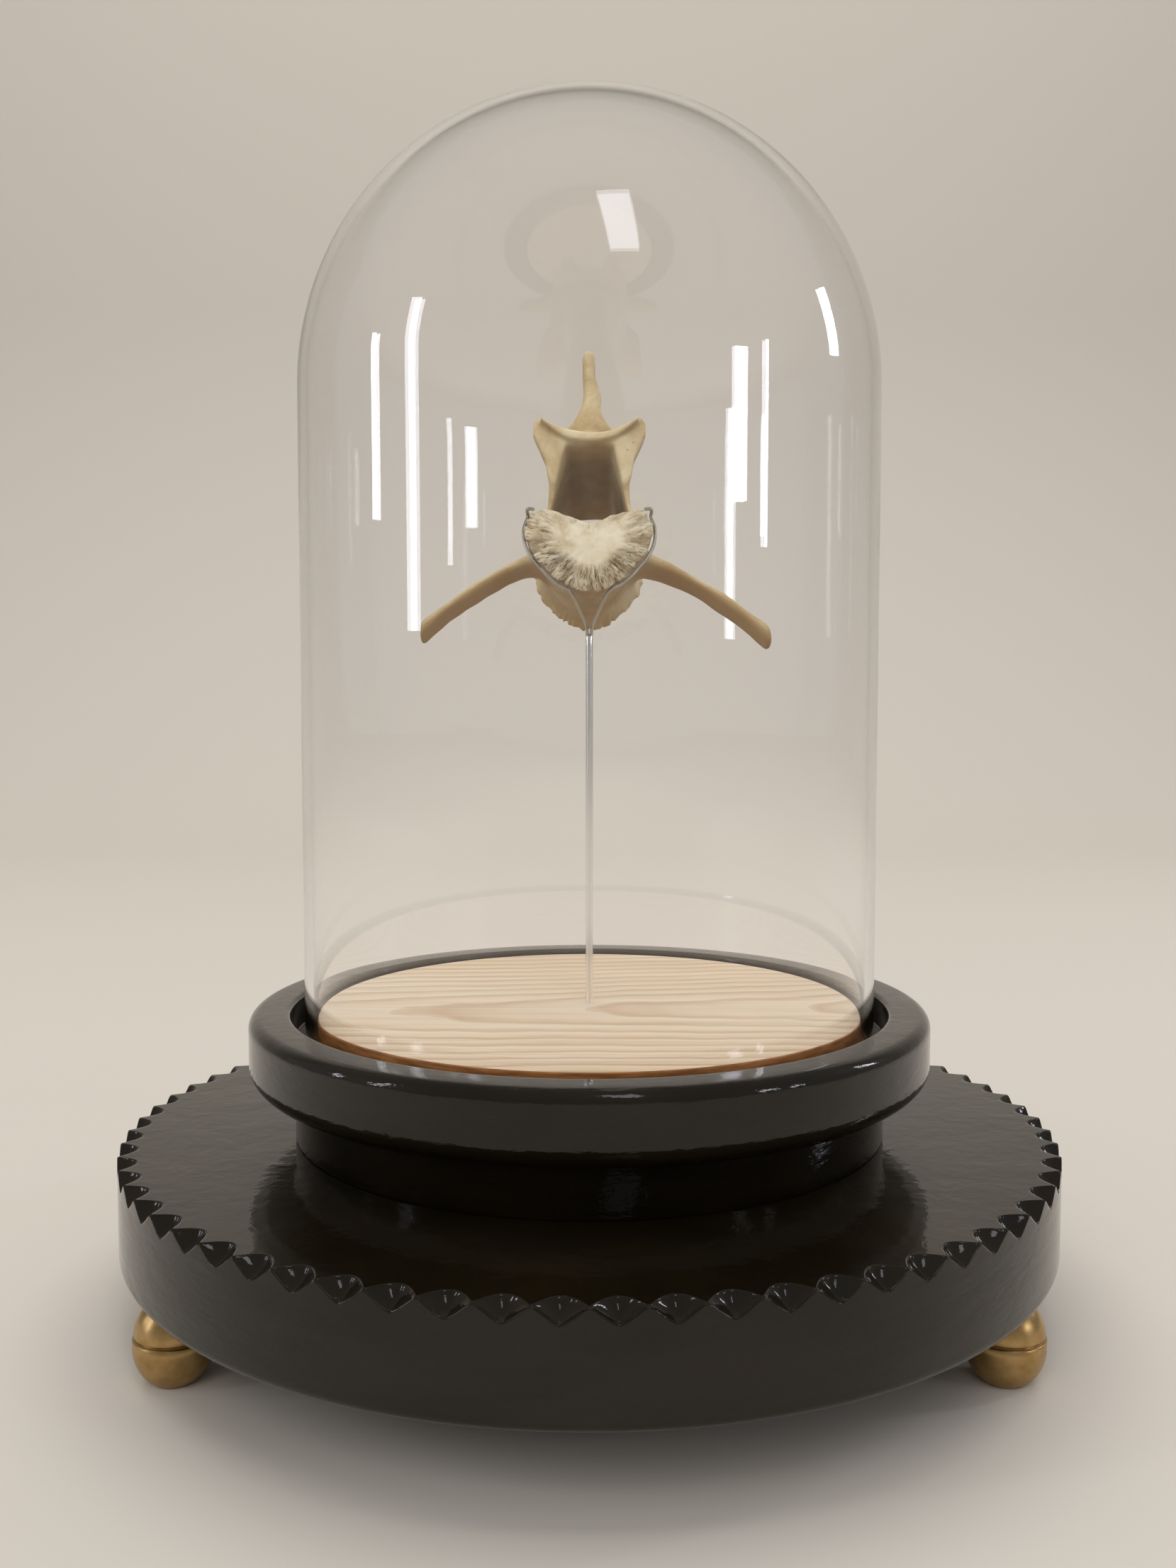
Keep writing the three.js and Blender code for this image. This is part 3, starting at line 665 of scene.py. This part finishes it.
def normals_of(obj):
    """The vertex normals as one array."""
    values = np.empty(len(obj.data.vertices) * 3, np.float32)
    obj.data.vertex_normals.foreach_get("vector", values)
    return values.reshape(-1, 3)


def add_attribute(obj, name, values):
    """A mask from 0 to 1 on the points, which a material reads by its name."""
    layer = obj.data.attributes.new(name, "FLOAT", "POINT")
    layer.data.foreach_set("value", np.clip(values, 0, 1).astype(np.float32))


def build_bone():
    """One seamless skin for the whole vertebra, with masks for its growth faces and rays, and for the painted
    shade under it, in its canal and grooves and, partly, on its wings.
    """
    low = np.array([-53.0, -4.0, -42.0])
    high = np.array([57.0, 43.0, 66.0])
    axes = [np.arange(a, b, VOXEL, dtype=np.float32) for a, b in zip(low, high)]
    x, y, z = np.meshgrid(*axes, indexing="ij", sparse=True)
    shape = tuple(len(a) for a in axes)
    full = [np.broadcast_to(v, shape) for v in (x, y, z)]
    field = bone_field(*full).astype(np.float32)
    points, faces = surface_nets(field, low, VOXEL)
    obj = make("vertebra", points * MM, faces)
    normal = normals_of(obj)
    directions, phases = WAVES
    swell = sum(np.sin(points @ (d * 0.22) + p) for d, p in zip(directions[:5], phases)) * 0.07
    swell = swell + sum(np.sin(points @ (d * 0.75) + p) for d, p in zip(directions[5:], phases[5:])) * 0.03
    points = points + normal * swell[:, None]
    px, py, pz = points.T
    angle = np.arctan2(pz - BODY_CENTRE, px)
    table = heart_radius()
    part = np.hypot(px, pz - BODY_CENTRE) / np.interp(angle, *table)
    on_front = np.clip((2.4 - py) / 1.2, 0, 1) * np.clip(-normal[:, 1] * 2.5, 0, 1)
    on_rear = np.clip((py - BODY_LENGTH + 2.0) / 1.2, 0, 1) * np.clip(normal[:, 1] * 2.5, 0, 1)
    plate = np.maximum(on_front, on_rear) * (part < 1.08)
    rays = ridge_height(angle, part)
    # Painted shade in the grooves between the rays of the growth faces
    groove = plate * ray_strength(angle, part) * np.clip(1.5 - 3.2 * rays, 0, 1)
    # Painted shade inside the canal: darker from 2.5 mm behind its front end, and more in its lower part
    inner = np.clip(0.6 - canal_field(px, py, pz), 0, 1) * (1 - plate)
    canal = inner * np.clip((py - 2.5) / 7, 0, 1) * np.clip((32 - pz) / 22, 0.6, 1)
    up = math.cos(TILT) * normal[:, 2] - math.sin(TILT) * normal[:, 1]
    # Painted shade: faces that look down are darkened, up to three quarters, except on the growth faces
    under = np.clip(-up * 0.8 + 0.05, 0, 0.75) * (1 - plate)
    # Browner wings: partly the bone's own tone, partly painted shade, strongest where a face doesn't look up
    outward = np.clip((np.abs(px) - 15) / 9, 0, 1) * (pz < 6)
    tan = np.clip(outward * (0.95 - 1.1 * np.clip(up - 0.35, 0, 1)), 0, 1) * (1 - plate)
    turn = (np.mod(angle + 1.5 * np.pi, 2 * np.pi) - np.pi) * FACE_RADIUS
    polar = obj.data.attributes.new("polar", "FLOAT_VECTOR", "POINT")
    round_and_out = np.stack([turn, part * FACE_RADIUS, 0 * part], -1)
    polar.data.foreach_set("vector", round_and_out.astype(np.float32).ravel())
    add_attribute(obj, "ray", plate * ray_strength(angle, part))
    masks = {"plate": plate, "groove": groove * 0.6, "canal": canal * 0.85, "under": under, "tan": tan}
    for name, values in masks.items():
        add_attribute(obj, name, values)
    obj.data.vertices.foreach_set("co", (to_row(points) * MM).astype(np.float32).ravel())
    obj.data.update()
    return obj


def to_row(points):
    """Points in the vertebra's own frame, tilted up at the front and moved over the rod."""
    points = np.asarray(points, float)
    c, s = math.cos(TILT), math.sin(TILT)
    x, y, z = points.T
    return np.stack([x, y * c + z * s, -y * s + z * c], -1) + VERTEBRA_AT


def from_row(point):
    """The way back from to_row, for one point."""
    x, y, z = np.asarray(point, float) - VERTEBRA_AT
    c, s = math.cos(TILT), math.sin(TILT)
    return np.array([x, y * c - z * s, y * s + z * c])


# The mount
def wire_path(side):
    """From the rod's top up to the front rim, round it just behind its lip, and over the face's edge."""
    table = heart_radius()
    start = from_row([side * 0.56, 0, ROD["top"] - 0.4])
    rise = start + [side * 0.2, -1.6, 2.4]
    middle = np.array([side * 2.3, 10.0, -25.6])
    rim = []
    for degrees in (-66, -54, -40, -26, -12, 2, 16, 28):
        angle = math.radians(degrees)
        reach = np.interp(angle, *table) * 0.94 + 0.85
        rim.append([side * reach * math.cos(angle), 1.9, BODY_CENTRE + reach * math.sin(angle)])
    last = np.array(rim[-1])
    hook = [last + [side * 0.15, -1.6, 0.8], last + [-side * 0.2, -2.9, 1.0], last + [-side * 1.6, -3.0, 0.9]]
    return to_row(curve_through([start, rise, middle, *rim, *hook], 150))


def board_piece():
    """The board: at each angle its profile is side, chamfer and top. The chamfer deepens in each scallop."""
    columns = SCALLOPS * 16
    angle = np.arange(columns) * 2 * np.pi / columns
    pitch = 2 * np.pi / SCALLOPS
    off = np.abs(np.mod(angle, pitch) / pitch * 2 - 1)
    inward = np.clip(SCOOP["in"] * (1 - off**2), SCOOP["least"], None)
    down = np.clip(SCOOP["down"] * (1 - off**1.35) ** 1.1, SCOOP["least"], None)
    radius, top, bottom, low = BOARD["radius"], BOARD["top"], BOARD["bottom"], BOARD["lower_round"]
    level = np.ones(columns)
    side = top - bottom - low - down - 0.5
    rows = [(r * level, bottom * level) for r in (40, 90, 120, radius - low)]
    rows += [(r * level, z * level) for r, z in arc(radius - low, bottom + low, low, low, -75, 0, 6)]
    rows += [(radius * level, bottom + low + side * t) for t in (0.4, 0.8, 1.0)]
    hollow = 0.16 * np.minimum(inward, down)
    for t in (0.0, 0.06, 0.14, 0.3, 0.5, 0.7, 0.86, 0.94, 1.0):
        dip = hollow * 4 * t * (1 - t)
        rows.append((radius - inward * t - dip, top - down * (1 - t) - dip))
    rows += [(radius - inward - 0.5, top * level)]
    rows += [(r * level, top * level) for r in (radius - 9, 115, 80, 40)]
    grid = [np.stack([r * np.cos(angle), r * np.sin(angle), z], -1) for r, z in rows]
    return capped(np.vstack(grid) * MM, len(rows), columns, "scalloped_board")


def ring_piece():
    """The turned base: a straight foot, a round-edged rim, a flat lip and a well for disc and dome."""
    outer, hole, top, foot = RING["outer"], RING["hole"], RING["top"], RING["foot"]
    edge = 3.6
    belly = arc(foot, RING["side_bottom"], outer - foot, RING["side_bottom"] - RING["under"], -88, 0, 24)
    profile = [(20, BOARD["top"]), (60, BOARD["top"]), (foot - 0.4, BOARD["top"]), (foot, BOARD["top"] + 0.4)]
    profile += [(foot, RING["under"] - 1)] + belly.tolist() + [(outer, top - edge - 0.6)]
    profile += arc(outer - edge, top - edge, edge, edge, 0, 88, 12).tolist() + [(outer - 7, top)]
    profile += [(hole + 2.2, top)] + arc(hole + 1.5, top - 1.5, 1.5, 1.5, 92, 180, 7).tolist()
    floor = RING["floor"]
    profile += [(hole, top - 4), (hole, floor + 0.5), (hole - 0.5, floor), (60, floor), (20, floor)]
    return revolve("turned_base", profile, 320)


def disc_piece():
    """The wooden disc, with a slightly softened upper edge. Its rim is marked for the browner end grain."""
    radius, top = DISC["radius"], DISC["top"]
    profile = [(25, RING["floor"] + 0.05), (60, RING["floor"] + 0.05), (radius - 0.2, RING["floor"] + 0.05)]
    profile += [(radius, RING["floor"] + 0.3), (radius, top - 4), (radius, top - 0.7)]
    profile += arc(radius - 0.6, top - 0.6, 0.6, 0.6, 5, 88, 5).tolist()
    profile += [(radius - 1.2, top), (60, top), (25, top)]
    obj = revolve("wood_disc", profile, 256)
    points = np.array([v.co[:] for v in obj.data.vertices]) / MM
    edge = (np.hypot(points[:, 0], points[:, 1]) > radius - 0.45) * (points[:, 2] < top - 0.05)
    add_attribute(obj, "edge", edge.astype(float))
    return obj


def dome_piece():
    """The glass dome: a straight wall of even thickness under a round top, with a fire-rounded rim."""
    radius, glass, bottom, top = DOME["radius"], DOME["glass"], DOME["bottom"], DOME["top"]
    spring = top - radius
    walls = np.linspace(bottom + glass / 2, spring, 30)
    outer = np.stack([0 * walls + radius, walls], -1)[:-1]
    inner = np.stack([0 * walls + radius - glass, walls], -1)[::-1][1:]
    cap_out = arc(0, spring, radius, radius, 0, 89.4, 60)
    cap_in = arc(0, spring, radius - glass, radius - glass, 89.4, 0, 60)
    rim = arc(radius - glass / 2, bottom + glass / 2, glass / 2, glass / 2, 180, 360, 9)[1:-1]
    profile = np.vstack([outer, cap_out, cap_in, inner, rim])
    angle = np.arange(200) * 2 * np.pi / 200
    r, z = profile[:, 0][:, None], profile[:, 1][:, None]
    points = np.stack([r * np.cos(angle), r * np.sin(angle), z + 0 * r * angle], -1)
    rows, columns = points.shape[:2]
    faces = grid_faces(rows, columns, True)
    seam = len(outer) + len(cap_out) - 1
    faces = faces[(faces[:, 0] // columns) != seam].tolist()
    poles = np.array([[0, 0, top], [0, 0, top - glass]])
    ring = np.arange(columns) + seam * columns
    faces += fan(rows * columns, ring[::-1]) + fan(rows * columns + 1, ring + columns)
    return make("glass_cover", np.vstack([points.reshape(-1, 3), poles]) * MM, faces)


def foot_piece(name, degrees):
    """A ball foot: a bowl below and a cap above, with a straight band and a parting line between."""
    radius, band, seat, tread = FOOT["radius"], FOOT["band"], FOOT["seat"], FOOT["tread"]
    low, high = math.sqrt(radius**2 - tread**2), math.sqrt(radius**2 - seat**2)
    scale = (BOARD["bottom"] - band) / (low + high)
    middle = low * scale
    start = -math.degrees(math.acos(tread / radius))
    end = math.degrees(math.acos(seat / radius))
    profile = [(2, 0), (tread - 0.5, 0)] + arc(0, middle, radius, radius * scale, start + 1, -1, 18).tolist()
    profile += [(radius, middle), (radius, middle + band - 0.25), (radius - 0.25, middle + band)]
    profile += [(radius - 0.9, middle + band + 0.02), (radius - 0.95, middle + band + 0.3)]
    profile += [(radius - 0.45, middle + band + 0.45)]
    profile += arc(0, middle + band, radius - 0.3, radius * scale, 5, end - 1, 18).tolist()
    profile += [(seat - 0.4, BOARD["bottom"] - 0.02), (2, BOARD["bottom"] - 0.02)]
    angle = math.radians(degrees)
    centre = (FOOT["circle"] * math.cos(angle), FOOT["circle"] * math.sin(angle))
    return revolve(name, profile, 72, centre)


def finish_piece(obj, look, slot_name, *nodes):
    """Gives a piece its material and body, and hides the CAD nodes it stands for. The slot name is not used.
    """
    obj.data.materials.append(look)
    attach(obj, "root")
    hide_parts(*nodes)


bone_nodes = ["vertebral_body", "neural_arch", "spinous_process"]
for place_name in ("left", "right"):
    bone_nodes += [f"articular_process_{place_name}", f"transverse_process_{place_name}"]
finish_piece(build_bone(), bone_material(), "bone", *bone_nodes)

lacquer = lacquer_material()
finish_piece(board_piece(), lacquer, "black_lacquer", "board")
finish_piece(ring_piece(), lacquer, "black_lacquer", "ring_base")
finish_piece(disc_piece(), wood_material(), "pale_wood", "wooden_disc")
finish_piece(dome_piece(), glass_material(), "clear_glass", "glass_dome")

brass = brass_material()
for foot_name, foot_angle in FEET.items():
    finish_piece(foot_piece(f"brass_{foot_name}", foot_angle), brass, "brass", foot_name)

polished = steel_material("polished_steel", "#f1efeb", 0.2)
# The wires get a rougher copy of the rod's steel, greyer as painted shade
dull = steel_material("shaded_steel_wire", "#b4ad9f", 0.4)
rod_heights = np.linspace(RING["floor"] + 1.2, ROD["top"] - 0.2, 40)
rod_path = np.stack([0 * rod_heights, 0 * rod_heights, rod_heights], -1)
finish_piece(tube("steel_rod", rod_path, ROD["radius"], 40), polished, "steel", "rod")
for side, wire_name in ((-1, "wire_left"), (1, "wire_right")):
    finish_piece(tube(f"steel_{wire_name}", wire_path(side), 0.5), dull, "steel", wire_name)


# The studio
def studio_sweep():
    """A pale floor that curves up far behind the object, so no horizon shows."""
    back, bend, height, half = 1.2, 0.8, 3.5, 5.0
    t = np.radians(np.linspace(0, 90, 24))
    curve = np.stack([back + bend * np.sin(t), bend - bend * np.cos(t)], -1)
    profile = [(-4.0, 0.0), (back, 0.0)] + curve.tolist()
    profile += [(back + bend, height)]
    points = [(x, y, z) for y, z in profile for x in (-half, half)]
    faces = [[2 * i, 2 * i + 1, 2 * i + 3, 2 * i + 2] for i in range(len(profile) - 1)]
    obj = make("studio_floor", np.array(points), faces)
    obj.data.materials.append(floor_material())


def lamp(name, azimuth, distance, height, size, power, colour, aim, mirrored=True):
    """A soft rectangular light. Azimuth 0 is behind the camera and 90 is at the viewer's right.

    A lamp that isn't mirrored lights the piece without showing as a shape in its gloss."""
    data = bpy.data.lights.new(name, "AREA")
    data.shape = "RECTANGLE"
    data.size, data.size_y = size
    data.energy = power
    data.color = linear(colour)[:3]
    obj = bpy.data.objects.new(name, data)
    bpy.context.scene.collection.objects.link(obj)
    angle = math.radians(azimuth)
    at = np.array([distance * math.sin(angle), -distance * math.cos(angle), height])
    obj.location = at
    obj.visible_glossy = mirrored
    obj.visible_transmission = mirrored
    away = at - np.array(aim)
    flat = math.hypot(away[0], away[1])
    obj.rotation_euler = (math.atan2(flat, away[2]), 0, math.atan2(away[1], away[0]) + math.pi / 2)


studio_sweep()
lamp("window_left", -68, 1.6, 0.62, (0.13, 0.74), 2.6, "#f4f6ff", (0, 0, 0.3))
lamp("window_far_left", -86, 1.7, 0.58, (0.07, 0.34), 1, "#f4f6ff", (0, 0, 0.3))
lamp("window_right", 56, 1.6, 0.52, (0.15, 0.2), 1.3, "#f4f5ff", (0, 0, 0.25))
lamp("window_right_slit", 67, 1.6, 0.5, (0.04, 0.28), 0.7, "#f4f5ff", (0, 0, 0.25))
lamp("window_far_right", 104, 1.5, 0.8, (0.1, 0.4), 2, "#f4f5ff", (0, 0, 0.3))
lamp("skylight", 15, 1.3, 2.0, (0.36, 0.9), 4, "#f6f6ff", (0, 0, 0.3))
lamp("overhead", 180, 0.6, 2.6, (3.2, 2.6), 46, "#fffaf2", (0, 0, 0.2), False)
lamp("room_fill", -12, 2.4, 1.9, (2.6, 1.4), 27, "#fff8ef", (0, 0, 0.2), False)

world = bpy.data.worlds.new("studio")
world.use_nodes = True
world.node_tree.nodes["Background"].inputs["Color"].default_value = linear("#dcdad7")
world.node_tree.nodes["Background"].inputs["Strength"].default_value = 0.42
bpy.context.scene.world = world

camera_data = bpy.data.cameras.new("camera")
camera_data.lens = LENS
camera_data.sensor_width = 36
camera_data.clip_start = 0.01
camera = bpy.data.objects.new("camera", camera_data)
camera.location = CAMERA_AT
camera.rotation_euler = (math.pi / 2 - CAMERA_DOWN, 0, 0)
bpy.context.scene.collection.objects.link(camera)
bpy.context.scene.camera = camera
bpy.context.scene.view_settings.view_transform = "Standard"

bpy.context.view_layer.update()
